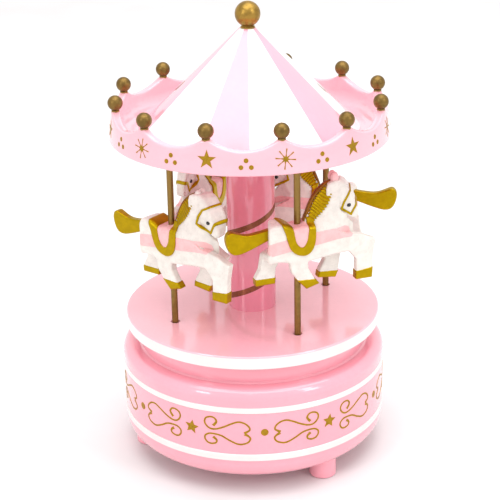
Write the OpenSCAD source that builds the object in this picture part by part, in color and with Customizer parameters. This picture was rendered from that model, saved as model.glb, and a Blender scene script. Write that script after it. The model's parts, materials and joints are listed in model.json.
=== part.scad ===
// Wind-up carousel music box: a fixed drum with the musical movement inside, and a turning
// platform, column and canopy that carry four horses on poles riding over a wavy cam ring.
// Millimetres, +Z up. The origin is on the turning axis, at table level.
// Azimuths are measured from -Y (the front) towards +X.

/* [Base drum] */
// Outside radius of the drum between its bands
drum_r = 52.1; // [51.6:0.1:52.3]
// Radius of the drum's bottom edge
drum_bottom_r = 48.8; // [48.4:0.1:49.4]
// Height of the underside of the drum above the table
foot_h = 7.9; // [7.4:0.1:8.2]
// Radius of a foot
foot_r = 5.3; // [4.8:0.1:5.6]
// Radius of the circle that the feet stand on
foot_circle_r = 43.5; // [42.5:0.1:43.5]
// Top face of the drum, around the step ring
deck_z = 45.1; // [44.8:0.1:45.3]
// Outside radius of the step ring under the platform
step_r = 45.4; // [45:0.1:46]
// Wall thickness of the drum
wall = 2; // [1.8:0.1:2.1]

/* [Platform and column] */
// Outside radius of the platform
platform_r = 50.3; // [50:0.1:51]
// Underside of the platform
platform_z = 53.15; // [53.1:0.05:53.3]
// Top face of the platform
platform_top_z = 58.3; // [58:0.1:58.6]
// Radius of the centre column
column_r = 9.45; // [9:0.05:10]

/* [Canopy] */
// Outside radius of the canopy rim at its bottom edge
canopy_r = 53.9; // [53.5:0.1:54.5]
// Bottom edge of the canopy rim
canopy_z = 129.6; // [129:0.1:130]
// Top of the rim at its twelve peaks
peak_z = 142.1; // [141.8:0.1:142.4]
// Top of the rim at the bottom of its scallops
dip_z = 138.4; // [138:0.1:138.8]
// Height of the flat top of the roof cone
cone_top_z = 170; // [169.5:0.1:170.4]
// Radius of the balls on the rim
ball_r = 2.88; // [2.7:0.02:3]
// Height of the centres of the rim balls
ball_z = 145; // [144.9:0.1:145.1]
// Radius of the ball on the roof
finial_r = 4.8; // [4.6:0.1:5]

/* [Horses and poles] */
// Radius of the circle that the poles stand on
pole_circle_r = 34.65; // [34.4:0.05:34.8]
// Radius of a pole
pole_r = 1.25; // [1.2:0.01:1.25]
// Difference in height between the top and the bottom of the cam ring
cam_rise = 2.4; // [1.8:0.1:2.4]
// Half of a horse's body width
horse_half_w = 4.5; // [4.2:0.1:4.8]

/* [Movement] */
// Teeth on the great wheel's crown
great_teeth = 48; // [48]
// Teeth on the cylinder's pinion
cylinder_pinion_teeth = 12; // [12]
// Teeth on the cylinder's drive gear
drive_teeth = 60; // [60]
// Teeth on the governor's and the fan's pinions
small_pinion_teeth = 10; // [10]
// Teeth on the governor wheel
governor_teeth = 30; // [30]
// Number of tuned teeth on the comb
comb_teeth = 18; // [18]

/* [Hidden] */
$fn = 72;

pink = "#f4a9bd";
white = "#fbf6f6";
brass = "#8a7136";
gold = "#c19a10";
steel = "#b8bcc2";
dark_steel = "#7d8288";

eps = 0.01;                // overrun of a cut, so that it leaves no skin
fit_gap = 0.06;            // running clearance of a shaft, on radius
slide_gap = 0.08;          // running clearance of a pole, on radius

// Drum
foot_azimuths = [37.4, 157.4, 277.4];
band_depth = 1;
lower_band_z = [15.75, 18.6];
upper_band_z = [35.75, 38.3];
lower_band_r = 52.6;
upper_band_r = 52.5;
deck_t = 2.2;
shoulder_r = 4;
tuck_r = 7;                // radius of the curve that draws the drum in to its bottom edge
tuck_angle = acos((drum_bottom_r - drum_r + tuck_r) / tuck_r);
step_wall = 2.5;
step_top_z = platform_z - 0.33;
cover_r = 46.6;
cover_t = 1.8;
cover_screw_angles = [35, 125, 215, 290];
cover_screw_circle_r = 41;
pillar_r = 3;
foot_spigot_r = 2;

// Turning spindle
arbor_r = 2;
bush_r = 4;
hub_z = 47;
arbor_top_z = 54;
tie_rod_r = 1.5;

// Platform
plate_t = 2.2;
edge_t = 1.4;
skirt_t = 2;

// Canopy
rim_wall = 3;
rim_draft = 0.115;         // inward lean of the rim, per millimetre of height
canopy_floor_z = 131.8;
canopy_floor_t = 1.6;
ceiling_r = 38;
cone_top_r = 3.6;
cone_base_r = 42.2;
cone_t = 1.6;
scallops = 12;
scallop_cut_r = 22;
peak_azimuth = 12.6;
ball_circle_r = 50.95;
ball_neck_r = 1.15;
ball_peg_r = 0.7;
finial_z = 180 - finial_r;

// Poles and horses: azimuth, heading from +X, height of the saddle's top, and how far
// the pole stands above the bottom of its travel
HORSES = [
    [-60.6, -36.6, 98.6, 0.2],
    [29.4, 20.3, 103, 2.2],
    [119.4, 175, 100.1, 0.3],
    [209.4, 243.4, 100.6, 2]
];
pole_length = 82.6;
lowest_tip_z = 49.8;       // the pole's foot at the bottom of its travel
cam_crest_z = lowest_tip_z - 0.35;
cam_half_w = 3;
cam_crest_azimuth = 29.4;

// Movement: the cylinder lies along +X from the turning axis, under the bedplate
bedplate_z = 38;
bedplate_t = 1.6;
cyl_z = 25;
crown_r = 16.5;
pinion_x = [15.7, 17.3];
cyl_pinion_r = crown_r * cylinder_pinion_teeth / great_teeth;
cyl_pinion_module = 2 * cyl_pinion_r / cylinder_pinion_teeth;
crown_pitch_z = cyl_z - cyl_pinion_r;
crown_disc_z = 18.2;
crown_disc_t = 1.6;
train_module = 0.4;
drive_r = train_module * drive_teeth / 2;
small_pinion_r = train_module * small_pinion_teeth / 2;
governor_r = train_module * governor_teeth / 2;
governor_y = drive_r + small_pinion_r;
fan_z = cyl_z - governor_r - small_pinion_r;
drive_x = [20.3, 21.8];
wheel_x = [25, 26];
inner_cheek_x = [18.6, 19.8];
outer_cheek_x = [43, 44.4];
cheek_y = [-5, 17.5];
cheek_bottom_z = 13;
pivot_r = 1;
cylinder_x = [22.3, 41.7];
cylinder_r = 6;
pin_r = 0.22;
pin_proud = 0.6;
comb_x = [23, 41];
comb_tip_y = cylinder_r + pin_proud + 0.25;
comb_root_y = 17;
comb_heel_y = 24;
comb_t = 0.9;
spring_cup_r = 13;
spring_cup_z = 21;
spring_r = [arbor_r + 1, spring_cup_r - 1.4];
spring_strip_t = 0.35;
spring_steps = 168;        // 7 turns of 24 steps
bedplate_screws = [[-15.5, 0], [10, -20], [36, 15]];

// ---------- helpers ----------

// Puts the children at an azimuth, on a circle of radius r
module around(azimuth, r) rotate([0, 0, azimuth - 90]) translate([r, 0, 0]) children();

// A ring between two radii and two heights
module ring(r_out, r_in, z0, z1) {
    translate([0, 0, z0]) difference() {
        cylinder(r = r_out, h = z1 - z0);
        translate([0, 0, -eps]) cylinder(r = r_in, h = z1 - z0 + 2 * eps);
    }
}

// Points of an arc in a profile
function arc(centre, r, from, to, steps = 8) =
    [for (i = [0:steps]) let (a = from + (to - from) * i / steps)
        [centre[0] + r * cos(a), centre[1] + r * sin(a)]];

// Outline of a spur gear with straight-sided teeth and free running backlash
function gear_outline(teeth, module_mm, phase = 0) =
    let (pitch = 360 / teeth, pitch_r = module_mm * teeth / 2)
    [for (i = [0:teeth - 1]) for (corner = [[-0.29, -1.1], [-0.1, 0.7], [0.1, 0.7], [0.29, -1.1]])
        let (a = pitch * (i + corner[0]) + phase, r = pitch_r + module_mm * corner[1])
        [r * cos(a), r * sin(a)]];

// A body of round or toothed section along +X, on the axis at height z and offset y
module along_x(x0, x1, y, z) {
    translate([x0, y, z]) rotate([0, 90, 0]) linear_extrude(x1 - x0) children();
}

// A pan-head screw pointing up, its head's underside at z = 0
module screw(shank_r, shank_h, head_r, head_h) {
    cylinder(r = shank_r, h = shank_h);
    translate([0, 0, -head_h]) difference() {
        cylinder(r = head_r, h = head_h);
        for (turn = [0, 90]) rotate([0, 0, turn])
            translate([-head_r * 0.6, -head_r * 0.12, -eps])
                cube([head_r * 1.2, head_r * 0.24, head_h * 0.55]);
    }
}

// ---------- base drum ----------

module feet() color(pink)
    for (a = foot_azimuths) around(a, foot_circle_r) {
        rotate_extrude() polygon(concat(
            [[0, 0], [foot_r - 0.8, 0]],
            arc([foot_r - 0.8, 0.8], 0.8, -90, 0, 5),
            [[foot_r, foot_h], [0, foot_h]]));
        cylinder(r = foot_spigot_r, h = foot_h + cover_t);
    }

module bottom_cover() color(pink) difference() {
    translate([0, 0, foot_h]) cylinder(r = cover_r, h = cover_t);
    for (a = foot_azimuths) around(a, foot_circle_r) cylinder(r = foot_spigot_r, h = foot_h + 3);
    for (a = cover_screw_angles) rotate([0, 0, a]) translate([cover_screw_circle_r, 0, 0]) {
        cylinder(r = 1.1, h = foot_h + 3);
        cylinder(r = 2.4, h = foot_h + 1.1);
    }
}

module cover_screws() color(steel)
    for (a = cover_screw_angles) rotate([0, 0, a])
        translate([cover_screw_circle_r, 0, foot_h + 1.1]) screw(1, 8, 2.2, 1);

module base_shell() color(pink) {
    inner_r = drum_r - wall;
    difference() {
        union() {
            rotate_extrude($fn = 180) polygon(concat(
                [[drum_bottom_r - 2, foot_h]],
                arc([drum_r - tuck_r, foot_h + tuck_r * sin(tuck_angle)], tuck_r, -tuck_angle, 0, 8),
                arc([drum_r + 0.3 - shoulder_r, deck_z - shoulder_r], shoulder_r, 0, 90, 10),
                [[step_r + 0.6, deck_z], [step_r, deck_z + 0.6]],
                arc([step_r - 0.6, step_top_z - 0.6], 0.6, 0, 90, 4),
                [[step_r - step_wall, step_top_z], [step_r - step_wall, deck_z], [bush_r, deck_z],
                 [bush_r, deck_z - deck_t], [inner_r - 3, deck_z - deck_t],
                 [inner_r, deck_z - deck_t - 3], [inner_r, foot_h + 6], [cover_r, foot_h + 4],
                 [cover_r, foot_h]]));
            for (a = cover_screw_angles) rotate([0, 0, a])
                translate([cover_screw_circle_r, 0, foot_h + cover_t])
                    cylinder(r = pillar_r, h = deck_z - deck_t / 2 - foot_h - cover_t);
            for (p = bedplate_screws) translate([p[0], p[1], bedplate_z + bedplate_t])
                cylinder(r = pillar_r, h = deck_z - deck_t / 2 - bedplate_z - bedplate_t);
        }
        ring(drum_r + 2, drum_r - band_depth, lower_band_z[0], lower_band_z[1]);
        ring(drum_r + 2, drum_r - band_depth, upper_band_z[0], upper_band_z[1]);
        for (a = cover_screw_angles) rotate([0, 0, a])
            translate([cover_screw_circle_r, 0, foot_h]) cylinder(r = 1, h = 10);
        for (p = bedplate_screws) translate([p[0], p[1], bedplate_z])
            cylinder(r = 1, h = 5.5);
    }
}

module band(r_out, z) color(white)
    rotate_extrude($fn = 180) polygon(concat(
        [[drum_r - band_depth, z[0]]],
        arc([r_out - 0.4, z[0] + 0.4], 0.4, -90, 0, 4),
        arc([r_out - 0.4, z[1] - 0.4], 0.4, 0, 90, 4),
        [[drum_r - band_depth, z[1]]]));

module lower_band() band(lower_band_r, lower_band_z);

module upper_band() band(upper_band_r, upper_band_z);

// Height of the cam's track: two rises in a turn
function cam_height(azimuth) =
    cam_crest_z - cam_rise / 2 + cam_rise / 2 * cos(2 * (azimuth - cam_crest_azimuth));

module cam_ring() color(white) {
    steps = 72;
    r_in = pole_circle_r - cam_half_w;
    r_out = pole_circle_r + cam_half_w;
    points = [for (i = [0:steps - 1]) let (a = 360 * i / steps, top = cam_height(a + 90))
        each [[r_in * cos(a), r_in * sin(a), deck_z], [r_out * cos(a), r_out * sin(a), deck_z],
              [r_out * cos(a), r_out * sin(a), top], [r_in * cos(a), r_in * sin(a), top]]];
    faces = [for (i = [0:steps - 1]) for (k = [0:3])
        let (next = (i + 1) % steps, l = (k + 1) % 4)
        each [[4 * i + k, 4 * next + l, 4 * next + k], [4 * i + k, 4 * i + l, 4 * next + l]]];
    polyhedron(points, faces);
}

module deck_bush() color(brass) difference() {
    union() {
        translate([0, 0, deck_z - deck_t]) cylinder(r = bush_r, h = deck_t + 1);
        translate([0, 0, deck_z]) cylinder(r = bush_r + 1.5, h = 1);
    }
    cylinder(r = arbor_r + fit_gap, h = deck_z + 3);
}

// ---------- musical movement ----------

module bedplate() color(steel) difference() {
    translate([0, 0, bedplate_z]) linear_extrude(bedplate_t) union() {
        circle(r = 19);
        translate([0, -comb_heel_y]) square([outer_cheek_x[1], comb_heel_y + 17.5]);
    }
    translate([0, 0, bedplate_z - eps]) cylinder(r = arbor_r + 0.5, h = bedplate_t + 1);
    for (p = bedplate_screws) translate([p[0], p[1], bedplate_z - eps])
        cylinder(r = 1.1, h = bedplate_t + 1);
}

module movement_screws() color(steel)
    for (p = bedplate_screws) translate([p[0], p[1], bedplate_z]) screw(1, 5.4, 2.1, 1.2);

module spring_housing() color(brass) ring(spring_cup_r, spring_cup_r - 0.9, spring_cup_z, bedplate_z);

// A point on the mainspring's spiral, after i steps of 15 degrees, pushed outwards by a distance
function coil(i, outward) =
    let (r = spring_r[0] + (spring_r[1] - spring_r[0]) * i / spring_steps + outward, a = 15 * i)
    [r * cos(a), r * sin(a)];

module mainspring() color(dark_steel)
    translate([0, 0, spring_cup_z + 1]) linear_extrude(bedplate_z - spring_cup_z - 2)
        polygon(concat([for (i = [0:spring_steps]) coil(i, 0)],
                       [for (i = [spring_steps:-1:0]) coil(i, spring_strip_t)]));

// A bearing plate that hangs from the bedplate and holds one end of the three shafts
module cheek(x) color(brass) difference() {
    translate([x[0], cheek_y[0], cheek_bottom_z])
        cube([x[1] - x[0], cheek_y[1] - cheek_y[0], bedplate_z - cheek_bottom_z]);
    for (p = [[0, cyl_z], [governor_y, cyl_z], [governor_y, fan_z]])
        along_x(x[0] - 1, x[1] + 1, p[0], p[1]) circle(r = pivot_r + fit_gap);
}

module inner_cheek() cheek(inner_cheek_x);

module outer_cheek() cheek(outer_cheek_x);

module comb_block() color(dark_steel) difference() {
    translate([comb_x[0], -comb_heel_y, cyl_z + comb_t / 2])
        cube([comb_x[1] - comb_x[0], 6, bedplate_z - cyl_z - comb_t / 2]);
    comb_screw_holes(1);
}

module comb_screw_holes(r)
    for (x = [26, 38]) translate([x, -comb_heel_y + 3, cyl_z - 3]) cylinder(r = r, h = 9);

module comb() color(steel) difference() {
    translate([comb_x[0], -comb_heel_y, cyl_z - comb_t / 2])
        cube([comb_x[1] - comb_x[0], comb_heel_y - comb_tip_y, comb_t]);
    for (i = [1:comb_teeth - 1])
        translate([comb_x[0] + i * (comb_x[1] - comb_x[0]) / comb_teeth - 0.15,
                   -comb_root_y - 2 * i / comb_teeth, cyl_z - comb_t])
            cube([0.3, comb_root_y, 2 * comb_t]);
    comb_screw_holes(1.1);
}

module comb_screws() color(brass)
    for (x = [26, 38]) translate([x, -comb_heel_y + 3, cyl_z - comb_t / 2]) screw(1, 6.4, 2, 1.2);

module cylinder_arbor() color(steel) {
    along_x(pinion_x[0] - 0.3, outer_cheek_x[1] + 0.6, 0, cyl_z) circle(r = pivot_r);
    along_x(pinion_x[0], pinion_x[1], 0, cyl_z)
        polygon(gear_outline(cylinder_pinion_teeth, cyl_pinion_module, 180 / cylinder_pinion_teeth));
    along_x(drive_x[0], drive_x[1], 0, cyl_z) polygon(gear_outline(drive_teeth, train_module));
}

module music_cylinder() color(brass) {
    along_x(cylinder_x[0], cylinder_x[1], 0, cyl_z) difference() {
        circle(r = cylinder_r);
        circle(r = pivot_r);
    }
    // Each comb tooth has a few pins, spread round the cylinder by a step that never repeats
    for (i = [0:comb_teeth - 1]) for (k = [0:2])
        translate([comb_x[0] + (i + 0.5) * (comb_x[1] - comb_x[0]) / comb_teeth, 0, cyl_z])
            rotate([i * 77 + k * 131 + 20, 0, 0])
                translate([0, 0, cylinder_r - 1]) cylinder(r = pin_r, h = 1 + pin_proud);
}

module governor_wheel() color(brass) {
    along_x(inner_cheek_x[0], outer_cheek_x[1], governor_y, cyl_z) circle(r = pivot_r);
    along_x(drive_x[0], drive_x[1], governor_y, cyl_z)
        polygon(gear_outline(small_pinion_teeth, train_module));
    along_x(wheel_x[0], wheel_x[1], governor_y, cyl_z)
        polygon(gear_outline(governor_teeth, train_module));
}

module fan_spindle() color(steel) {
    along_x(inner_cheek_x[0], outer_cheek_x[1], governor_y, fan_z) circle(r = pivot_r);
    along_x(wheel_x[0], wheel_x[1], governor_y, fan_z)
        polygon(gear_outline(small_pinion_teeth, train_module, 180 / small_pinion_teeth));
}

module fan_vane() color(dark_steel) difference() {
    along_x(30, 40, governor_y, fan_z) union() {
        circle(r = pivot_r + 0.6);
        square([0.5, 8], center = true);
    }
    along_x(29, 41, governor_y, fan_z) circle(r = pivot_r);
}

// ---------- turning top ----------

module winding_arbor() color(steel)
    translate([0, 0, crown_disc_z - 1.5]) cylinder(r = arbor_r, h = arbor_top_z - crown_disc_z + 1.5);

module great_wheel() color(brass) difference() {
    union() {
        translate([0, 0, crown_disc_z]) cylinder(r = crown_r + 1.5, h = crown_disc_t);
        tooth_h = crown_pitch_z + 0.7 * cyl_pinion_module - crown_disc_z - crown_disc_t;
        pitch = 2 * PI * crown_r / great_teeth;
        for (i = [0:great_teeth - 1]) rotate([0, 0, 360 * i / great_teeth])
            translate([crown_r - 1.3, 0, crown_disc_z + crown_disc_t - eps])
                rotate([90, 0, 90]) linear_extrude(2.6)
                    polygon([[-0.26 * pitch, 0], [0.26 * pitch, 0],
                             [0.1 * pitch, tooth_h], [-0.1 * pitch, tooth_h]]);
    }
    translate([0, 0, crown_disc_z - 1]) cylinder(r = arbor_r, h = crown_disc_t + 3);
}

module platform() color(pink) difference() {
    rim_r = platform_r - edge_t;
    union() {
        rotate_extrude($fn = 180) polygon(concat(
            [[tie_rod_r, platform_top_z - plate_t - 6], [rim_r - skirt_t, platform_top_z - plate_t],
             [rim_r - skirt_t, platform_z], [rim_r, platform_z], [rim_r, platform_top_z - 0.5]],
            arc([platform_r - 0.6, platform_top_z - 0.6], 0.6, 0, 90, 4),
            [[tie_rod_r, platform_top_z]]));
        translate([0, 0, hub_z]) cylinder(r = 7, h = platform_top_z - hub_z - 1);
        for (h = HORSES) around(h[0], pole_circle_r)
            translate([0, 0, platform_top_z - plate_t - 1.5]) cylinder(r = 3, h = plate_t + 1);
    }
    translate([0, 0, hub_z - 1]) cylinder(r = arbor_r, h = arbor_top_z - hub_z + 1);
    translate([0, 0, hub_z]) cylinder(r = tie_rod_r, h = platform_top_z);
    for (h = HORSES) around(h[0], pole_circle_r) {
        translate([0, 0, platform_z - 3]) cylinder(r = pole_r + slide_gap, h = 10);
        translate([0, 0, platform_top_z - 0.5]) cylinder(r = pole_r + 0.55, h = 1);
    }
}

module platform_edge() color(white)
    rotate_extrude($fn = 180) polygon(concat(
        [[platform_r - edge_t, platform_z]],
        arc([platform_r - 0.4, platform_z + 0.4], 0.4, -90, 0, 4),
        [[platform_r, platform_top_z - 0.6], [platform_r - edge_t, platform_top_z - 0.6]]));

module column() color(pink)
    ring(column_r, column_r - wall, platform_top_z, canopy_floor_z - canopy_floor_t);

module tie_rod() color(steel)
    translate([0, 0, arbor_top_z]) cylinder(r = tie_rod_r, h = 84);

module tie_nut() color(steel) translate([0, 0, canopy_floor_z + 2.5]) difference() {
    cylinder(r = 3.2, h = 2.4, $fn = 6);
    translate([0, 0, -1]) cylinder(r = tie_rod_r, h = 5);
}

// ---------- canopy ----------

module canopy_ceiling() color(pink) difference() {
    union() {
        translate([0, 0, canopy_floor_z - canopy_floor_t]) cylinder(r = ceiling_r, h = canopy_floor_t);
        translate([0, 0, canopy_floor_z - eps]) cylinder(r = 7, h = 2.5 + eps);
        for (h = HORSES) around(h[0], pole_circle_r)
            translate([0, 0, canopy_z + 0.3]) cylinder(r = 2.4, h = 3.3);
    }
    translate([0, 0, canopy_z]) cylinder(r = tie_rod_r, h = 9);
    for (h = HORSES) around(h[0], pole_circle_r)
        translate([0, 0, canopy_z - 1]) cylinder(r = pole_r + slide_gap, h = 10);
}

function rim_outer_r(z) = canopy_r - rim_draft * (z - canopy_z);

module canopy_rim() color(pink) difference() {
    top_z = peak_z;
    inner_top_r = rim_outer_r(top_z) - rim_wall;
    rotate_extrude($fn = 180) polygon(concat(
        [[ceiling_r, canopy_floor_z - canopy_floor_t],
         [canopy_r - rim_wall, canopy_floor_z - canopy_floor_t], [canopy_r - rim_wall + 0.6, canopy_z],
         [canopy_r - 0.4, canopy_z], [canopy_r, canopy_z + 0.4], [rim_outer_r(top_z), top_z],
         [inner_top_r, top_z]],
        arc([inner_top_r - 4.6, canopy_floor_z + 5.6], 5.6, 0, -90, 8),
        [[ceiling_r, canopy_floor_z]]));
    for (i = [0:scallops - 1]) rotate([0, 0, peak_azimuth - 90 + 15 + 30 * i])
        translate([ceiling_r, 0, dip_z + scallop_cut_r]) rotate([0, 90, 0])
            cylinder(r = scallop_cut_r, h = 30);
    for (i = [0:scallops - 1]) around(peak_azimuth + 30 * i, ball_circle_r)
        translate([0, 0, peak_z - 3]) cylinder(r = ball_peg_r, h = 4);
}

module rim_balls() color(brass)
    for (i = [0:scallops - 1]) around(peak_azimuth + 30 * i, ball_circle_r) {
        translate([0, 0, ball_z]) sphere(r = ball_r);
        translate([0, 0, peak_z]) cylinder(r = ball_neck_r, h = ball_z - peak_z - 1);
        translate([0, 0, peak_z - 3]) cylinder(r = ball_peg_r, h = 4);
    }

module roof_cone() color(white)
    rotate_extrude($fn = 180) polygon([
        [cone_base_r, canopy_floor_z], [cone_base_r, canopy_floor_z + 0.4],
        [cone_top_r, cone_top_z - 0.4], [cone_top_r - 0.5, cone_top_z], [1.2, cone_top_z],
        [1.2, cone_top_z - 4], [cone_top_r - 1, cone_top_z - 4],
        [cone_base_r - 1.5 * cone_t, canopy_floor_z]]);

module finial() color(gold) {
    translate([0, 0, finial_z]) sphere(r = finial_r);
    translate([0, 0, cone_top_z]) cylinder(r = 2.2, h = finial_z - cone_top_z - 2);
    translate([0, 0, cone_top_z - 4]) cylinder(r = 1.2, h = 5);
}

// ---------- poles and horses ----------

module pole(h) color(brass) around(h[0], pole_circle_r)
    translate([0, 0, lowest_tip_z + h[3] + pole_r]) {
        cylinder(r = pole_r, h = pole_length - pole_r);
        sphere(r = pole_r);
    }

// A flat piece of the horse: its outline in (forward, up), between two offsets outward
module horse_slab(outline, v0, v1)
    rotate([90, 0, 0]) translate([0, 0, v0]) linear_extrude(v1 - v0) polygon(outline);

TORSO = [[5, -0.5], [19, 0.2], [21.6, -1.8], [23.8, -4.2], [24.9, -7], [24.8, -9.6],
         [22.3, -12.4], [12, -13.1], [3, -14.3], [-3.2, -14.3], [-9.3, -12.8], [-12.6, -13.2],
         [-12.9, -8], [-12.8, -1], [-11.4, 1.6], [-8.2, 2], [-5.4, 1], [-3, -0.6], [0, 0],
         [3, -0.2]];
NECK = [[2.8, -2], [3.4, 3], [5, 8], [8, 12.2], [12, 14.6], [15.6, 15], [17.2, 8], [16, 4.6],
        [18.2, 3.2], [21.2, -1.6], [19, -3]];
HEAD = [[15.6, 4.6], [13.6, 9], [14, 14.6], [19.4, 14.8], [22, 11.8], [23.4, 8], [24.4, 4],
        [24.2, 1], [22.6, -0.2], [20.4, 0.9]];
TAIL = [[-10.6, 0.8], [-14.6, 0.3], [-20, -0.3], [-24.2, 1], [-25.7, -1], [-25.9, -5.2],
        [-24.2, -8.2], [-20, -7.8], [-14.6, -5.8], [-11, -3.6]];
REAR_LEG_FAR = [[-13, -12], [-5.5, -13.4], [-8.2, -17], [-8.8, -22.8], [-15.8, -22.8],
                [-15.9, -20.2], [-14, -17]];
REAR_LEG_NEAR = [[-4.8, -13], [2.6, -13.4], [3, -16.8], [5.2, -20.8], [6.6, -22.8], [2, -24.2],
                 [-1.4, -21], [-3.6, -17.6]];
FRONT_LEG_NEAR = [[20, -8], [24.9, -7], [27, -7.8], [29.6, -9.2], [29, -14.8], [28.4, -23.8],
                  [22.4, -23.8], [22.2, -16], [20, -12]];
FRONT_LEG_FAR = [[11.6, -12], [18.6, -11.8], [18, -16], [17.2, -21.4], [16, -24], [9.4, -23.2],
                 [9.8, -20.6], [11.8, -16.6]];

module horse(h) color(white) around(h[0], pole_circle_r)
    rotate([0, 0, h[1] - h[0] + 90]) translate([0, 0, h[2]]) difference() {
        union() {
            horse_slab(TORSO, -horse_half_w, horse_half_w);
            horse_slab(NECK, -3.2, 3.2);
            horse_slab(HEAD, -2.8, 2.8);
            horse_slab(TAIL, -1.5, 1.5);
            horse_slab(REAR_LEG_FAR, -horse_half_w, -1.2);
            horse_slab(REAR_LEG_NEAR, 1.2, horse_half_w);
            horse_slab(FRONT_LEG_NEAR, 1.2, horse_half_w);
            horse_slab(FRONT_LEG_FAR, -horse_half_w, -1.2);
        }
        translate([0, 0, -20]) cylinder(r = pole_r + 0.02, h = 24);
    }

module pole_1() pole(HORSES[0]);
module pole_2() pole(HORSES[1]);
module pole_3() pole(HORSES[2]);
module pole_4() pole(HORSES[3]);
module horse_1() horse(HORSES[0]);
module horse_2() horse(HORSES[1]);
module horse_3() horse(HORSES[2]);
module horse_4() horse(HORSES[3]);

feet();
bottom_cover();
cover_screws();
base_shell();
lower_band();
upper_band();
cam_ring();
deck_bush();
bedplate();
movement_screws();
spring_housing();
mainspring();
inner_cheek();
outer_cheek();
comb_block();
comb();
comb_screws();
cylinder_arbor();
music_cylinder();
governor_wheel();
fan_spindle();
fan_vane();
winding_arbor();
great_wheel();
platform();
platform_edge();
column();
tie_rod();
tie_nut();
canopy_ceiling();
canopy_rim();
rim_balls();
roof_cone();
finial();
pole_1();
pole_2();
pole_3();
pole_4();
horse_1();
horse_2();
horse_3();
horse_4();
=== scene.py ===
"""Looks for the carousel music box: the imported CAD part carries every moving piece, and this
script adds the moulded canopy, the painted horses, the gold print and all the finishes.

Lengths are in millimetres until a mesh is made. +Z is up and the front faces -Y. Azimuths are
in degrees, measured from the front towards +X.
"""

import json
import math

import bmesh
import bpy
import numpy as np
from mathutils import Matrix, Vector


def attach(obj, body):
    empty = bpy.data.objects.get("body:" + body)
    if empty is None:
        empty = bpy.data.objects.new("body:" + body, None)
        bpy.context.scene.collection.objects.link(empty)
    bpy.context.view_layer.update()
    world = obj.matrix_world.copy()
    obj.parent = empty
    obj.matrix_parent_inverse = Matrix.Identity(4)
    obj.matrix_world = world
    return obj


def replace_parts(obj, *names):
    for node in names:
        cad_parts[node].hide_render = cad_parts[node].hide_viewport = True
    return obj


MM = 0.001

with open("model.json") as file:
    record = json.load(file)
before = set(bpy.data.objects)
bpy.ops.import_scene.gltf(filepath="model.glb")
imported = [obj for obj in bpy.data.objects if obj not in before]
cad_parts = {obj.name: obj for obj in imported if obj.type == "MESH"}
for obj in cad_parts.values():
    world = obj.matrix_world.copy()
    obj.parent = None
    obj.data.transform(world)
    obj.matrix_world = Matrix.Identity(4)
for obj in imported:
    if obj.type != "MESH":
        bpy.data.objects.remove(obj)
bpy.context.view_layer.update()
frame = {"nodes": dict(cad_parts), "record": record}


# ---------------------------------------------------------------- shapes in general

def at(azimuth, r, z):
    """The point at an azimuth, on a circle of radius r, at height z."""
    a = math.radians(azimuth)
    return (r * math.sin(a), -r * math.cos(a), z)


def make_piece(name, points, faces, body, slot, materials, face_material=None, sharp=35):
    """A mesh object from points in mm, which rides on a CAD body."""
    mesh = bpy.data.meshes.new(name)
    mesh.from_pydata([tuple(c * MM for c in p) for p in points], [], faces)
    for material in materials:
        mesh.materials.append(material)
    if face_material is not None:
        mesh.polygons.foreach_set("material_index", face_material)
    mesh.shade_smooth()
    mesh.set_sharp_from_angle(angle=math.radians(sharp))
    piece = bpy.data.objects.new(name, mesh)
    bpy.context.scene.collection.objects.link(piece)
    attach(piece, body)
    return piece


def outwards(piece):
    """Turns a closed mesh's faces to point outwards."""
    mesh = bmesh.new()
    mesh.from_mesh(piece.data)
    bmesh.ops.remove_doubles(mesh, verts=mesh.verts, dist=1e-7)
    bmesh.ops.recalc_face_normals(mesh, faces=mesh.faces)
    mesh.to_mesh(piece.data)
    mesh.free()
    return piece


def rounded(corners, steps=6):
    """A closed (r, z) profile from corners (r, z, radius), each corner rounded to its radius."""
    profile = []
    for i, (r, z, radius) in enumerate(corners):
        p = np.array([r, z], float)
        if radius == 0:
            profile.append(tuple(p))
            continue
        before = np.array(corners[i - 1][:2], float) - p
        after = np.array(corners[(i + 1) % len(corners)][:2], float) - p
        before, after = before / np.linalg.norm(before), after / np.linalg.norm(after)
        half = math.acos(max(-1, min(1, before @ after))) / 2
        middle = (before + after) / np.linalg.norm(before + after)
        centre = p + middle * radius / math.sin(half)
        start = p + before * radius / math.tan(half) - centre
        end = p + after * radius / math.tan(half) - centre
        sweep = math.atan2(start[0] * end[1] - start[1] * end[0], start @ end)
        for k in range(steps + 1):
            c, s = math.cos(sweep * k / steps), math.sin(sweep * k / steps)
            profile.append((centre[0] + start[0] * c - start[1] * s,
                            centre[1] + start[0] * s + start[1] * c))
    return profile


def lathe(sections, centre=(0, 0)):
    """Points and faces of closed (r, z) sections, one for each step of azimuth round a centre."""
    points, faces, n, m = [], [], len(sections), len(sections[0])
    for i, section in enumerate(sections):
        for r, z in section:
            x, y, _ = at(360 * i / n, r, z)
            points.append((centre[0] + x, centre[1] + y, z))
        for k in range(m):
            j, l = (i + 1) % n, (k + 1) % m
            faces.append((i * m + k, j * m + k, j * m + l, i * m + l))
    return points, faces


def smoothed(outline, times=2):
    """An outline with its corners cut off, as many times as asked, so that it runs in soft curves."""
    for _ in range(times):
        a = np.array(outline, float)
        b = np.roll(a, -1, axis=0)
        outline = np.stack([0.75 * a + 0.25 * b, 0.25 * a + 0.75 * b], axis=1).reshape(-1, 2)
    return [tuple(p) for p in outline]


def curve_through(points, per_span=8):
    """A smooth line through points (Catmull-Rom), for scrolls."""
    p = np.array([points[0], *points, points[-1]], float)
    line = []
    for a, b, c, d in zip(p, p[1:], p[2:], p[3:]):
        for t in np.linspace(0, 1, per_span, endpoint=False):
            line.append(0.5 * (2 * b + (c - a) * t + (2 * a - 5 * b + 4 * c - d) * t ** 2
                               + (3 * b - a - 3 * c + d) * t ** 3))
    return np.array([*line, p[-1]])


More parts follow.
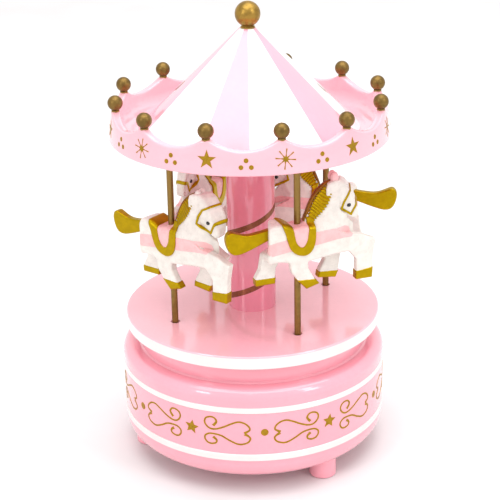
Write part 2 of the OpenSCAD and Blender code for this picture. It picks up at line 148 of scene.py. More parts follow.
# ---------------------------------------------------------------- finishes

class Finish:
    """A principled material, with procedural texture nodes built up a step at a time."""

    def __init__(self, name, metallic=0.0, coat=0.0, ior=1.47):
        self.material = bpy.data.materials.new(name)
        self.material.use_nodes = True
        self.tree = self.material.node_tree
        self.shader = self.tree.nodes["Principled BSDF"]
        self.shader.inputs["Metallic"].default_value = metallic
        self.shader.inputs["IOR"].default_value = ior
        self.shader.inputs["Coat Weight"].default_value = coat
        self.shader.inputs["Coat Roughness"].default_value = 0.08
        self.coordinates = self.node("ShaderNodeTexCoord").outputs["Object"]

    def node(self, kind, **settings):
        node = self.tree.nodes.new(kind)
        for name, value in settings.items():
            setattr(node, name, value)
        return node

    def link(self, output, target):
        self.tree.links.new(output, target)

    def noise(self, scale, detail=3.0, distortion=0.0, stretch=(1, 1, 1)):
        """Noise with about `scale` waves to the millimetre, stretched along an axis."""
        mapping = self.node("ShaderNodeMapping")
        mapping.inputs["Scale"].default_value = stretch
        self.link(self.coordinates, mapping.inputs["Vector"])
        noise = self.node("ShaderNodeTexNoise")
        noise.inputs["Scale"].default_value = scale / MM
        noise.inputs["Detail"].default_value = detail
        noise.inputs["Distortion"].default_value = distortion
        self.link(mapping.outputs["Vector"], noise.inputs["Vector"])
        return noise.outputs["Fac"]

    def ranged(self, value, low, high, start=0.3, end=0.7):
        """value, from start to end, carried over to low to high."""
        node = self.node("ShaderNodeMapRange", interpolation_type="SMOOTHSTEP")
        for name, number in (("From Min", start), ("From Max", end), ("To Min", low), ("To Max", high)):
            node.inputs[name].default_value = number
        self.link(value, node.inputs["Value"])
        return node.outputs["Result"]

    def mixed(self, factor, a, b):
        """Colours a and b, mixed by a factor; either may be a colour or a node's output."""
        node = self.node("ShaderNodeMix", data_type="RGBA")
        self.link(factor, node.inputs[0])
        for socket, colour in ((node.inputs[6], a), (node.inputs[7], b)):
            if isinstance(colour, tuple):
                socket.default_value = (*colour, 1)
            else:
                self.link(colour, socket)
        return node.outputs[2]

    def pointiness(self, start, end):
        """0 in hollows and 1 on edges that stick out."""
        return self.ranged(self.node("ShaderNodeNewGeometry").outputs["Pointiness"], 0, 1, start, end)

    def colour(self, output):
        self.link(output, self.shader.inputs["Base Color"])
        return self

    def roughness(self, output):
        self.link(output, self.shader.inputs["Roughness"])
        return self

    def bump(self, *heights):
        """Bumps from (height, depth in mm) pairs, one on top of the other."""
        normal = None
        for height, depth in heights:
            node = self.node("ShaderNodeBump")
            node.inputs["Distance"].default_value = depth * MM
            self.link(height, node.inputs["Height"])
            if normal is not None:
                self.link(normal, node.inputs["Normal"])
            normal = node.outputs["Normal"]
        self.link(normal, self.shader.inputs["Normal"])
        return self


def shade(colour, factor):
    return tuple(min(1.0, c * factor) for c in colour)


def moulded_plastic(name, colour, gloss=0.16, waviness=0.05):
    """Glossy moulded plastic: faint colour drift, rub marks and a slow waviness of the surface."""
    f = Finish(name, coat=0.9, ior=1.49)
    drift = f.ranged(f.noise(0.05, 2), 0, 1)
    rubbed = f.ranged(f.noise(1.3, 4), 0, 1, 0.55, 0.8)
    tone = f.mixed(drift, shade(colour, 0.97), shade(colour, 1.03))
    f.colour(f.mixed(f.ranged(f.noise(0.6, 3), 0, 0.35), tone, shade(colour, 0.94)))
    f.roughness(f.ranged(rubbed, gloss, gloss + 0.12, 0, 1))
    return f.bump((f.noise(0.06, 1), waviness), (f.noise(3.5, 3), 0.004)).material


def worn_brass(name, colour, dark, metallic=0.85, rough=(0.32, 0.5)):
    """Dull brass: brown in its hollows, brighter on its edges, with tarnish in patches."""
    f = Finish(name, metallic=metallic)
    tarnish = f.ranged(f.noise(0.35, 5, 0.4), 0, 1, 0.38, 0.66)
    base = f.mixed(tarnish, colour, shade(colour, 0.72))
    hollow = f.mixed(f.pointiness(0.44, 0.5), dark, base)
    f.colour(f.mixed(f.pointiness(0.53, 0.6), hollow, shade(colour, 1.45)))
    f.roughness(f.ranged(f.noise(1.1, 4), *rough))
    return f.bump((f.noise(0.5, 4), 0.02), (f.noise(4, 2), 0.004)).material


def brushed_steel(name, colour, along=(0.05, 1, 1)):
    """Steel with fine brush lines, and brown spots where the oil has dried."""
    f = Finish(name, metallic=0.95)
    lines = f.noise(2.5, 3, stretch=along)
    base = f.mixed(f.ranged(lines, 0, 1), shade(colour, 0.8), shade(colour, 1.1))
    f.colour(f.mixed(f.ranged(f.noise(0.3, 4), 0, 0.6, 0.6, 0.75), base, (0.2, 0.15, 0.1)))
    f.roughness(f.ranged(lines, 0.24, 0.42))
    return f.bump((lines, 0.01)).material


def hand_paint(name, colour, hollow_shade_colour, gloss=0.32, metallic=0.0, relief=0.02):
    """Paint put on by hand, with painted shade darkening its hollows and a painted highlight lightening
    the edges that stick out.
    """
    f = Finish(name, metallic=metallic, coat=0.0 if metallic else 0.2)
    uneven = f.ranged(f.noise(0.4, 4), 0, 1)
    base = f.mixed(uneven, shade(colour, 0.93), shade(colour, 1.06))
    # Painted shade: the hollows darken towards the second colour
    with_hollow_shade = f.mixed(f.pointiness(0.42, 0.5), hollow_shade_colour, base)
    # Painted highlight: the edges that stick out are lightened
    f.colour(f.mixed(f.pointiness(0.52, 0.62), with_hollow_shade, shade(colour, 1.35)))
    f.roughness(f.ranged(f.noise(0.9, 3), gloss - 0.07, gloss + 0.1))
    return f.bump((f.noise(0.45, 3), relief), (f.noise(3, 2), 0.004)).material


def foil_print(name, colour):
    """Gold foil print: slightly worn through and lightly mottled."""
    f = Finish(name, metallic=0.92)
    worn = f.ranged(f.noise(1.2, 4), 0, 1, 0.45, 0.75)
    f.colour(f.mixed(worn, colour, shade(colour, 0.7)))
    f.roughness(f.ranged(f.noise(0.8, 3), 0.3, 0.5))
    return f.bump((f.noise(2.5, 3), 0.01)).material


PINK = (0.92, 0.375, 0.45)
# A paler pink that paints light and reflection onto the pink plastic
PINK_PAINTED_LIGHT = (0.93, 0.47, 0.54)
# A deeper pink that paints shade onto the pink plastic
PINK_PAINTED_SHADE = (0.88, 0.28, 0.38)
GOLD_PAINT = (0.43, 0.285, 0.003)
# The brown painted into the gold paint's hollows as shade
BROWN_PAINTED_SHADE = (0.17, 0.06, 0.006)

FINISHES = {
    "pink_plastic": moulded_plastic("pink_plastic", PINK),
    "white_plastic": moulded_plastic("white_plastic", (0.80, 0.76, 0.74)),
    "roof_paint": moulded_plastic("roof_white", (0.90, 0.89, 0.89)),
    "antique_brass": worn_brass("antique_brass", (0.22, 0.135, 0.036), (0.06, 0.03, 0.01)),
    "gold_finish": worn_brass("gold_finish", (0.38, 0.23, 0.045), (0.12, 0.06, 0.015),
                              rough=(0.28, 0.42)),
    "movement_brass": worn_brass("movement_brass", (0.75, 0.55, 0.22), (0.3, 0.2, 0.08),
                                 metallic=1.0, rough=(0.2, 0.35)),
    "movement_steel": brushed_steel("movement_steel", (0.62, 0.63, 0.65)),
    "dark_steel": brushed_steel("dark_steel", (0.28, 0.29, 0.32)),
    # Its second colour is the painted shade in the horse's hollows
    "horse_paint": hand_paint("horse_white", (0.78, 0.74, 0.68), (0.50, 0.34, 0.30)),
    "gold_print": foil_print("gold_print", (0.41, 0.24, 0.02)),
    "spiral_paint": foil_print("spiral_paint", (0.28, 0.11, 0.06)),
}
roof_pink = moulded_plastic("roof_pink", (0.86, 0.41, 0.50))
# Each hand-painted finish: its colour, then the painted shade in its hollows
horse_pink = hand_paint("horse_pink", (0.88, 0.50, 0.50), (0.50, 0.16, 0.15))
horse_gold = hand_paint("horse_gold", GOLD_PAINT, BROWN_PAINTED_SHADE, gloss=0.38, metallic=0.95)
horse_brown = hand_paint("horse_brown", (0.26, 0.10, 0.012), (0.08, 0.025, 0.004), metallic=0.8)
horse_black = hand_paint("horse_black", (0.012, 0.010, 0.010), (0.004, 0.003, 0.003), gloss=0.15)

# The platform and the canopy's rim are a paler pink than the drum, which paints on them the light and
# reflection they catch, and the column a deeper pink, which paints the shade it stands in under the
# canopy
painted_light_pink = moulded_plastic("pink_plastic_painted_light", PINK_PAINTED_LIGHT)
PAINTED_LIGHT_AND_SHADE_FINISHES = {"platform": painted_light_pink, "canopy_rim": painted_light_pink,
                    "column": moulded_plastic("pink_plastic_painted_shade", PINK_PAINTED_SHADE)}
for subpart in frame["record"]["subparts"]:
    mesh = frame["nodes"][subpart["node"]].data
    mesh.materials.clear()
    mesh.materials.append(PAINTED_LIGHT_AND_SHADE_FINISHES.get(subpart["node"], FINISHES[subpart["material_slot"]]))


# ---------------------------------------------------------------- canopy

PEAKS = 12
FIRST_PEAK = 12.6  # azimuth of the first peak right of the front
PEAK_Z = 142.1
PEAK_SHARPNESS = 4.0
DIP_Z = 138.4
SCALLOP_R = 22
CANOPY_Z = 129.6  # underside of the rim
CANOPY_R = 53.9
RIM_LEAN = 0.115
RIM_WALL = 3
FLOOR_Z = 131.8  # the canopy's floor, on which the roof stands
FLOOR_EDGE_R = 38
CEILING_STEP = 1.6  # depth of the recess for the ceiling plate
BALL_CIRCLE_R = 50.95


def rim_r(z):
    """Outside radius of the canopy's rim, which leans in a little towards its top."""
    return CANOPY_R - RIM_LEAN * (z - CANOPY_Z)


def rim_top(azimuth):
    """Height of the scalloped edge: broad round dips between narrow, rounded peaks."""
    pitch = 360 / PEAKS
    off_dip = (azimuth - FIRST_PEAK) % pitch - pitch / 2
    across = 51 * math.sin(math.radians(off_dip))
    dip = DIP_Z + SCALLOP_R - math.sqrt(SCALLOP_R ** 2 - across ** 2)
    return -math.log(math.exp(-PEAK_SHARPNESS * dip)
                     + math.exp(-PEAK_SHARPNESS * PEAK_Z)) / PEAK_SHARPNESS


def rim_section(azimuth):
    """The rim's (r, z) section: its floor, the wall and a hollow curve between the two inside."""
    top = rim_top(azimuth)
    outer, inner = rim_r(top), rim_r(top) - RIM_WALL
    return rounded([(FLOOR_EDGE_R, FLOOR_Z - CEILING_STEP, 0), (50.9, FLOOR_Z - CEILING_STEP, 0.4),
                    (51.5, CANOPY_Z, 0.3), (CANOPY_R, CANOPY_Z, 0.6), (outer, top, 1.0),
                    (inner, top, 0.9), (inner - 0.6, FLOOR_Z, 5.4), (FLOOR_EDGE_R, FLOOR_Z, 0)])


rim_steps = 720
# The rim is in the paler pink that paints light on it
rim = outwards(make_piece("canopy_rim_moulded",
                          *lathe([rim_section(360 * i / rim_steps) for i in range(rim_steps)]),
                          "carousel", "pink_plastic", [painted_light_pink], sharp=50))
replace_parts(rim, "canopy_rim")

# The roof: five white wedges, with a pale pink one between each two, painted by hand
PINK_WEDGES = [(-26, 0), (41, 72), (113, 144), (185, 216), (256, 288)]
roof_steps = 720
ROOF_R = 42.2
ROOF_TOP_Z = 170
SOCKET_R, SOCKET_Z = 1.3, 166  # the hole in the roof's top that takes the finial's stem
roof_profile = rounded([(ROOF_R, FLOOR_Z, 0), (ROOF_R, FLOOR_Z + 0.5, 0.2), (3.6, 169.6, 0.8),
                        (3.1, ROOF_TOP_Z, 0), (SOCKET_R, ROOF_TOP_Z, 0), (SOCKET_R, SOCKET_Z, 0),
                        (2.6, SOCKET_Z, 0), (39.8, FLOOR_Z, 0)])
wedge_colour = []
for i in range(roof_steps):
    azimuth = 360 * (i + 0.5) / roof_steps
    is_pink = any((azimuth - start) % 360 < end - start for start, end in PINK_WEDGES)
    wedge_colour += [int(is_pink)] * len(roof_profile)
roof = make_piece("roof_painted", *lathe([roof_profile] * roof_steps), "carousel", "roof_paint",
                  [FINISHES["roof_paint"], roof_pink], wedge_colour)
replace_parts(outwards(roof), "roof_cone")


ON_AXIS = 0.0005  # so near the axis that a turned piece closes there


def turned(corners, centre, steps=48):
    """A piece turned about the vertical through its centre."""
    return lathe([rounded(corners)] * steps, centre)


def sphere_corners(r, z, from_angle):
    """The profile of a ball from its neck to its pole, as sharp corners close together."""
    angles = np.radians(np.linspace(from_angle, 90, 24))
    return [(max(r * math.cos(a), ON_AXIS), z + r * math.sin(a), 0) for a in angles]


BALL_R, BALL_Z = 2.88, 145
ball = [(ON_AXIS, PEAK_Z - 0.8, 0), (1.5, PEAK_Z - 0.8, 0), (1.5, PEAK_Z + 0.25, 0.2),
        (1.15, PEAK_Z + 0.5, 0), *sphere_corners(BALL_R, BALL_Z, -62)]
points, faces = [], []
for i in range(PEAKS):
    p, f = turned(ball, at(FIRST_PEAK + 360 / PEAKS * i, BALL_CIRCLE_R, 0))
    faces += [tuple(v + len(points) for v in face) for face in f]
    points += p
balls = make_piece("rim_balls_turned", points, faces, "carousel", "antique_brass",
                   [FINISHES["antique_brass"]])
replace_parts(outwards(balls), "rim_balls")

FINIAL_R, FINIAL_Z = 4.8, 175.2
finial = make_piece("finial_turned", *turned(
    [(ON_AXIS, SOCKET_Z, 0), (1.2, SOCKET_Z, 0), (1.2, 169.9, 0), (2.7, 169.9, 0), (2.7, 170.5, 0.2),
     (2.1, 170.8, 0.2), *sphere_corners(FINIAL_R, FINIAL_Z, -60)], (0, 0), 96),
    "carousel", "gold_finish", [FINISHES["gold_finish"]])
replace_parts(outwards(finial), "finial")


# ---------------------------------------------------------------- printed gold

class Print:
    """Thin raised shapes on a round wall. A shape is given in (s, t): s mm along the wall, t mm up."""

    def __init__(self, radius_at, proud=0.06, sunk=0.04):
        self.radius_at, self.proud, self.sunk = radius_at, proud, sunk
        self.points, self.faces = [], []

    def wrap(self, azimuth, z, s, t, out):
        r = self.radius_at(z + t)
        return at(azimuth + math.degrees(s / r), r + out, z + t)

    def shape(self, azimuth, z, grid):
        """A patch whose points are rows of (s, t), closed on every side with a thin edge."""
        rows, columns, first = len(grid), len(grid[0]), len(self.points)
        for out in (self.proud, -self.sunk):
            for row in grid:
                self.points += [self.wrap(azimuth, z, s, t, out) for s, t in row]
        below = first + rows * columns
        border = ([(0, c) for c in range(columns)] + [(r, columns - 1) for r in range(1, rows)]
                  + [(rows - 1, c) for c in range(columns - 2, -1, -1)]
                  + [(r, 0) for r in range(rows - 2, 0, -1)])
        for r in range(rows - 1):
            for c in range(columns - 1):
                quad = [r * columns + c, r * columns + c + 1, (r + 1) * columns + c + 1,
                        (r + 1) * columns + c]
                self.faces.append([first + q for q in quad])
                self.faces.append([below + q for q in reversed(quad)])
        for (r0, c0), (r1, c1) in zip(border, border[1:] + border[:1]):
            a, b = r0 * columns + c0, r1 * columns + c1
            self.faces.append([first + b, first + a, below + a, below + b])

    def blob(self, azimuth, z, outline, centre=(0, 0)):
        """A filled star-shaped outline, in rings from its centre."""
        outline = np.array([*outline, outline[0]], float)
        c = np.array(centre, float)
        self.shape(azimuth, z, [c + (outline - c) * k for k in (0.02, 0.5, 1)])

    def dot(self, azimuth, z, r, centre=(0, 0)):
        self.blob(azimuth, z, [(centre[0] + r * math.cos(a), centre[1] + r * math.sin(a))
                               for a in np.linspace(0, 2 * math.pi, 24, endpoint=False)], centre)

    def star(self, azimuth, z, r, turn=0, arms=5, waist=0.4):
        outline = []
        for k in range(2 * arms):
            reach = r if k % 2 == 0 else r * waist
            a = math.radians(turn) + math.pi * k / arms
            outline.append((reach * math.sin(a), reach * math.cos(a)))
        self.blob(azimuth, z, outline)

    def stroke(self, azimuth, z, line, width):
        """A line, with a width given at each of its points."""
        line = np.array(line, float)
        along = np.gradient(line, axis=0)
        along /= np.linalg.norm(along, axis=1)[:, None]
        side = np.stack([-along[:, 1], along[:, 0]], axis=1) * np.array(width)[:, None] / 2
        self.shape(azimuth, z, [line - side, line, line + side])

    def done(self, name, body, slot):
        return outwards(make_piece(name, self.points, self.faces, body, slot, [FINISHES[slot]]))


DRUM_FOOT_R, DRUM_FOOT_Z = 52.1, 13.34
DRUM_WIDENING, DRUM_WALL_H = 0.3, 27.76


def drum_r(z):
    """Outside radius of the drum, which widens a little towards its shoulder."""
    return DRUM_FOOT_R + DRUM_WIDENING * (z - DRUM_FOOT_Z) / DRUM_WALL_H


# Drum: a dot and a star by turns, and between them a pair of scrolls that mirror each other
UPPER_SCROLL = [(-19.6, 2.9), (-18.3, 4.7), (-19.1, 6.2), (-20.8, 6.5), (-22.5, 5.7), (-23, 4.1),
                (-22.3, 2.6), (-20.7, 1.5), (-18.4, 1.6), (-15.6, 2.7), (-12.7, 4.2), (-10, 5.2),
                (-7.6, 4.7), (-5.9, 3.2), (-5.6, 1.9), (-6.6, 1.1), (-7.7, 0.5)]
LOWER_SCROLL = [(-7.6, 0.1), (-6.2, -0.7), (-5.4, -1.9), (-6.6, -3.6), (-9.7, -4.3), (-13.2, -2.9),
                (-16.7, -1), (-20.7, -0.6), (-22.7, -1.6), (-23, -3.1), (-22, -4.5), (-20.3, -4.9),
                (-18.6, -4.3), (-18.4, -3.1), (-19.7, -1.9)]
FIRST_DOT, REPEATS = 4.1, 6  # azimuth of the first dot, and the repeats of each print round its wall
DOT_Z = 28.0
SCROLL_Z = 27.2
RIGHT_SCROLL_SHIFT = -1.7  # the scrolls on the right of a dot stand closer to it
drum_print = Print(drum_r)
for k in range(REPEATS):
    dot_azimuth = FIRST_DOT + 360 / REPEATS * k
    drum_print.dot(dot_azimuth, DOT_Z, 1.45)
    drum_print.star(dot_azimuth + 28.8, DOT_Z, 3.0, turn=8, waist=0.48)
    for scroll in (UPPER_SCROLL, LOWER_SCROLL):
        for mirror, shift in ((1, 0), (-1, RIGHT_SCROLL_SHIFT)):
            line = curve_through([(mirror * s + shift, t) for s, t in scroll])
            ends = np.linspace(0, 1, len(line))
            width = 0.68 + 0.45 * np.clip(1 - 9 * np.minimum(ends, 1 - ends), 0, 1)
            drum_print.stroke(dot_azimuth, SCROLL_Z, line, width)
drum_print.done("drum_print", "base", "gold_print")

# Canopy rim: stars and rays by turns, with three dots between. A ray crosses its centre.
STAR_AZIMUTH, RAYS_AZIMUTH, DOTS_AZIMUTH = -16.5, 13.5, -1.5
RIM_STAR_Z, RIM_DOTS_Z = 135.3, 134.2
RAY_REACH, RAY_HALF, RAY_MIDDLE_HALF = 3.7, 0.26, 0.5
rim_print = Print(rim_r)
for k in range(REPEATS):
    turn = 360 / REPEATS * k
    rim_print.star(STAR_AZIMUTH + turn, RIM_STAR_Z, 3.6)
    for ray in range(4):
        angle = math.radians(45 * ray + 8)
        tip = RAY_REACH * np.array([math.sin(angle), math.cos(angle)])
        side = np.array([tip[1], -tip[0]]) / RAY_REACH
        end, middle = RAY_HALF * side, RAY_MIDDLE_HALF * side
        rim_print.blob(RAYS_AZIMUTH + turn, RIM_STAR_Z,
                       [tip + end, -middle, end - tip, -end - tip, middle, tip - end])
for k in range(PEAKS):
    for s, t in ((0, 1.2), (-1.8, -1.2), (1.8, -1.2)):
        rim_print.dot(DOTS_AZIMUTH + 360 / PEAKS * k, RIM_DOTS_Z, 0.85, (s, t))
rim_print.done("rim_print", "carousel", "gold_print")

# Column: one stripe that climbs round it
COLUMN_R = 9.45
COLUMN_FOOT_Z = 58.3
STRIPE_PITCH = 26.4
STRIPE_FRONT_Z = 68.1  # height at which the stripe crosses the front
STRIPE_HALF = 1.2
column_print = Print(lambda z: COLUMN_R)
low, high = ((z - STRIPE_FRONT_Z) / STRIPE_PITCH * 360 for z in (COLUMN_FOOT_Z, CANOPY_Z))
grid = []
for azimuth in np.linspace(low - 8, high, 240):
    s, z = COLUMN_R * math.radians(azimuth), STRIPE_FRONT_Z + STRIPE_PITCH * azimuth / 360
    grid.append([(s, min(max(z + t, COLUMN_FOOT_Z + 0.02), CANOPY_Z + 0.4))
                 for t in (-STRIPE_HALF, 0, STRIPE_HALF)])
column_print.shape(0, 0, grid)
column_print.done("column_stripe", "carousel", "spiral_paint")


# ---------------------------------------------------------------- horses
# Every horse is the same moulding. Its shape is a distance field in (u, v, w): u forward, v to
# its right, w up from the saddle at the pole. A painted part is a thin shell over the field.
# Each leg is its offset in v with its outline; the near legs are on the right.

TORSO_HALF, LEG_HALF = 4.5, 1.65
TORSO = [(5, -0.5), (19, 0.5), (21.5, -1.5), (23.8, -4), (24.9, -7), (24.8, -10), (22.3, -12.4),
         (12, -13), (3, -14.3), (-3.2, -14.2), (-9.3, -12.6), (-12.9, -13.7), (-13.4, -9),
         (-13, -4), (-13.3, -1), (-11.8, 1.6), (-8.2, 2), (-5.5, 1.2), (-3, -0.6), (0, 0), (3, 0)]
NECK = [(12.4, 15.2), (10, 14), (7.2, 11.5), (5, 8), (3.6, 4.6), (2.4, 1), (1.8, -3), (19, -4),
        (20, 0), (17.6, 3.2), (15.6, 4.6), (16, 8), (16, 14.8)]
CREST_LINE = [(13, 15.6), (10, 14), (7.2, 11.5), (5, 8), (3.6, 4.6), (2.4, 1), (1.8, -3)]
HEAD = [(12.8, 14.4), (15.5, 15.8), (19.4, 15.8), (22.4, 11.2), (23.9, 8.6), (24.8, 6), (25, 3.6),
        (24.6, 0.8), (22.6, -0.6), (20.4, 0.7), (15.2, 4.4), (13, 8)]
TAIL = [(-9.8, 0), (-14.7, -0.9), (-20.1, -1.5), (-24.2, 0), (-26.8, 1), (-28.6, -1), (-28.2, -4.6),
        (-26.6, -7.9), (-23.6, -8.7), (-19, -7.3), (-15, -5.8), (-10.4, -4)]
LEGS = {
    "rear_near": (2.85, [(-5, -12), (2.6, -12.6), (2.8, -16.7), (5.0, -20.6), (6.9, -23.2),
                         (2.0, -24.6), (-1.4, -21), (-3.8, -17.7)]),
    "front_near": (2.85, [(18, -5), (24.6, -6.2), (27, -7.4), (30.3, -8.8), (29.2, -14.7),
                          (28.7, -24.1), (22.3, -24.1), (22.3, -16), (19, -12)]),
    "front_far": (-2.85, [(11.3, -11.5), (18.8, -11.2), (18.1, -16), (17.3, -21.4), (16.1, -24.2),
                          (9.2, -23.4), (9.6, -20.6), (11.8, -16.6)]),
    "rear_far": (-2.85, [(-13.4, -11), (-5.3, -12.6), (-8.0, -17), (-8.6, -23), (-16, -23),
                         (-16.2, -20.2), (-14.4, -17)]),
}
HOOF_TOPS = {"rear_near": ((-1.6, -20.7), (6.4, -21.2)), "front_near": ((21, -20.9), (30, -19.8)),
             "front_far": ((9, -21.1), (18, -21.7)), "rear_far": ((-17, -20.4), (-8, -20.6))}
MANE = [(12.4, 15), (9.8, 13.4), (7.1, 10.8), (5.1, 7.4), (4.1, 4.6), (3, 1), (2.2, -1.6),
        (3.6, -1.4), (6, 1.8), (9.4, 4.8), (12.1, 9), (13.2, 12.6), (13.6, 15)]
SEAT = [(-4, 1.6), (-4, -1), (-2.8, -5), (-1, -8), (1.2, -8.2), (2.8, -5.4), (3, -2), (3, 1.6)]
BORDER = [(-7.8, 3.2), (-7.2, 0), (-6.4, -1.6), (-5.9, -4), (-4.8, -7.6), (-2.6, -10.2), (1, -11.3),
          (3.7, -10.2), (5.3, -7), (5.6, -3.6), (5.6, 0), (5, 3.2)]
BORDER_INSIDE = [(-3.4, 4), (-3.2, -0.8), (-2.8, -3.2), (-2.2, -5.8), (-0.6, -7.6), (0.9, -7.6),
                 (2.1, -5.4), (2.4, -3.4), (2.8, -0.8), (3, 4)]
CANTLE = [(-7.9, 0.2), (-7.5, 1.6), (-6.4, 1.9), (-5.2, 1.2), (-4.9, -0.4), (-6.2, -0.8)]
BELT = [(-13.8, -5.1), (-7, -4), (5.4, -2.5), (13, -1.9), (20, -2.4), (21.4, -6.4),
        (16.2, -6.4), (5.5, -7.9), (-6, -9), (-13.8, -10)]
# Bridles as painted: brow strap, jaw strap and noseband. The second horse's is narrower.
WIDE_BRIDLE = [[(14.8, 4.6), (15.6, 7.4), (17.4, 10.2), (20.2, 11.6), (24, 12.6)],
               [(14.8, 4.6), (20.5, 1.6)], [(20.5, 1.6), (22.6, 5.6), (26, 6.4)]]
NARROW_BRIDLE = [[(16.8, 4.4), (17.6, 7), (19.8, 10.8), (24, 12.6)], [(16.8, 4.4), (20.8, 1.6)],
                 [(20.8, 1.6), (23.0, 6), (26, 6.6)]]


def outline_distance(outline, u, w):
    """Distance to a closed outline, negative inside it."""
    squared = np.full(np.broadcast(u, w).shape, 1e9)
    inside = np.zeros(squared.shape, bool)
    for (u0, w0), (u1, w1) in zip(outline, outline[1:] + outline[:1]):
        du, dw = u1 - u0, w1 - w0
        t = np.clip(((u - u0) * du + (w - w0) * dw) / (du * du + dw * dw), 0, 1)
        squared = np.minimum(squared, (u - u0 - t * du) ** 2 + (w - w0 - t * dw) ** 2)
        if dw:
            inside ^= ((w0 <= w) != (w1 <= w)) & (u < u0 + (w - w0) * du / dw)
    return np.where(inside, -1, 1) * np.sqrt(squared)


def line_distance(line, u, w):
    """Distance to an open line."""
    squared = 1e9
    for (u0, w0), (u1, w1) in zip(line, line[1:]):
        du, dw = u1 - u0, w1 - w0
        t = np.clip(((u - u0) * du + (w - w0) * dw) / (du * du + dw * dw), 0, 1)
        squared = np.minimum(squared, (u - u0 - t * du) ** 2 + (w - w0 - t * dw) ** 2)
    return np.sqrt(squared)


def slab(flat, v, half, edge):
    """A flat distance given a thickness of 2 half and rounded edges."""
    a, b = flat + edge, np.abs(v) - half + edge
    return np.minimum(np.maximum(a, b), 0) + np.hypot(np.maximum(a, 0), np.maximum(b, 0)) - edge


def joined(a, b, blend):
    """Two fields joined with a soft fillet."""
    h = np.clip(0.5 + 0.5 * (b - a) / blend, 0, 1)
    return b * (1 - h) + a * h - blend * h * (1 - h)


def common(*fields, blend=0.25):
    """What fields have in common, with slightly softened edges."""
    result = fields[0]
    for field in fields[1:]:
        result = -joined(-result, -field, blend)
    return result


def step_between(x, start, end):
    t = np.clip((x - start) / (end - start), 0, 1)
    return t * t * (3 - 2 * t)


def leg(name, u, v, w, edge=0.6):
    side, outline = LEGS[name]
    return slab(outline_distance(outline, u, w), v - side, LEG_HALF, edge)


def neck_field(u, v, w):
    """The neck: thin at its crest, and wide where it runs into the shoulder."""
    half = 1.0 + 2.3 * step_between(line_distance(CREST_LINE, u, w), 0.3, 6.5)
    root = step_between(w, 4.5, -0.5)
    return slab(outline_distance(smoothed(NECK), u, w), v, half + 1.1 * root, 0.7)


def horse_field(u, v, w):
    """The moulded body: barrel, neck with a facet at the throat, head and four legs."""
    torso = slab(outline_distance(smoothed(TORSO), u, w), v, TORSO_HALF, 1.4)
    rump_slant = -0.94 * u - 0.35 * v - 10.9 - 8 * step_between(w, -9, -13)
    torso = common(torso, rump_slant, blend=1.2)
    field = joined(torso, neck_field(u, v, w), 1.4)
    below_facet = step_between(w + 0.49 * (u - 15), -3.4, -4.4)
    throat_facet = 0.48 * (u - 14.8) + 0.88 * (np.abs(v) - 4.4) - 8 * below_facet
    field = common(field, throat_facet, blend=0.2)
    turned_u = u + 0.5 * (v + 2.3) * step_between(w, -1, 7)
    head = slab(outline_distance(smoothed(HEAD, 1), turned_u, w), v,
                2.9 - 0.8 * step_between(w, 9, 1), 0.9)
    field = joined(field, head, 0.6)
    for name in LEGS:
        field = joined(field, leg(name, u, v, w), 0.6)
    nostril = np.sqrt((u - 23.9) ** 2 + (w - 1.9) ** 2 + (np.abs(v) - 2.0) ** 2) - 0.4
    return np.maximum(field, -nostril)


def over(lift, region, u, v, w):
    """A shell that stands lift mm over the body inside a region, and sinks a little into it."""
    body = horse_field(u, v, w)
    return common(body - lift, region, -(body + 0.55))


def belt_field(u, v, w):
    return over(0.14, outline_distance(smoothed(BELT, 1), u, w), u, v, w)


def seat_field(u, v, w):
    return over(0.35, outline_distance(smoothed(SEAT), u, w), u, v, w)


def border_field(u, v, w):
    """The saddle's thick gold border, with the cantle behind the seat."""
    ring = np.maximum(outline_distance(smoothed(BORDER), u, w),
                      -outline_distance(smoothed(BORDER_INSIDE), u, w))
    cantle = slab(outline_distance(smoothed(CANTLE), u, w), v, 4.2, 1.2)
    return joined(over(0.7, ring, u, v, w), cantle, 0.4)


def bridle_field(u, v, w, bridle=WIDE_BRIDLE):
    brow, jaw, nose = (line_distance(line, u, w) for line in bridle)
    straps = np.minimum(brow, jaw) - 0.42
    noseband = nose - 0.38 - 0.35 * step_between(u, 22, 23.5)
    return over(0.4, np.minimum(noseband, straps), u, v, w)


def narrow_bridle_field(u, v, w):
    return bridle_field(u, v, w, NARROW_BRIDLE)


def mane_field(u, v, w):
    """A comb of locks square to the crest, with grooves between the locks."""
    along = 0.54 * u + 0.84 * w + 0.25 * np.sin(0.9 * u)
    lock = np.abs(np.sin(math.pi * along / 1.15))
    region = outline_distance(smoothed(MANE, 1), u, w) + 0.5 * (1 - lock)
    return common(neck_field(u, v, w) - 0.32 - 0.4 * lock, region, 0.6 - np.abs(v), blend=0.3)


def crest_field(u, v, w):
    """The ridge between the two combs."""
    near_crest = line_distance(CREST_LINE, u, w) - 1.5
    return common(neck_field(u, v, w) - 0.45, near_crest, np.abs(v) - 1.0, -(w + 1.8))


def tail_field(u, v, w):
    """A flat paddle, thicker along its top edge."""
    ridge = 0.3 * step_between(w - 0.04 * u, 0.2, 1.4)
    return slab(outline_distance(smoothed(TAIL), u, w), v, 1.45 + ridge, 0.6)


def hoof_field(u, v, w):
    """The painted foot of each leg, up to a straight slanting edge."""
    result = np.full(np.broadcast(u, v, w).shape, 9.0)
    for name, ((u0, w0), (u1, w1)) in HOOF_TOPS.items():
        top = (w - w0) - (u - u0) * (w1 - w0) / (u1 - u0)
        near = np.maximum(u0 - 1 - u, u - u1 - 1)
        hoof = common(leg(name, u, v, w, 0.45) - 0.22, np.maximum(top, near), blend=0.3)
        result = np.minimum(result, hoof)
    return result


def eye_field(u, v, w):
    return np.sqrt(((u - 19.7) / 0.8) ** 2 + ((w - 5.5) / 0.75) ** 2
                   + ((np.abs(v) - 2.6) / 0.55) ** 2) - 1


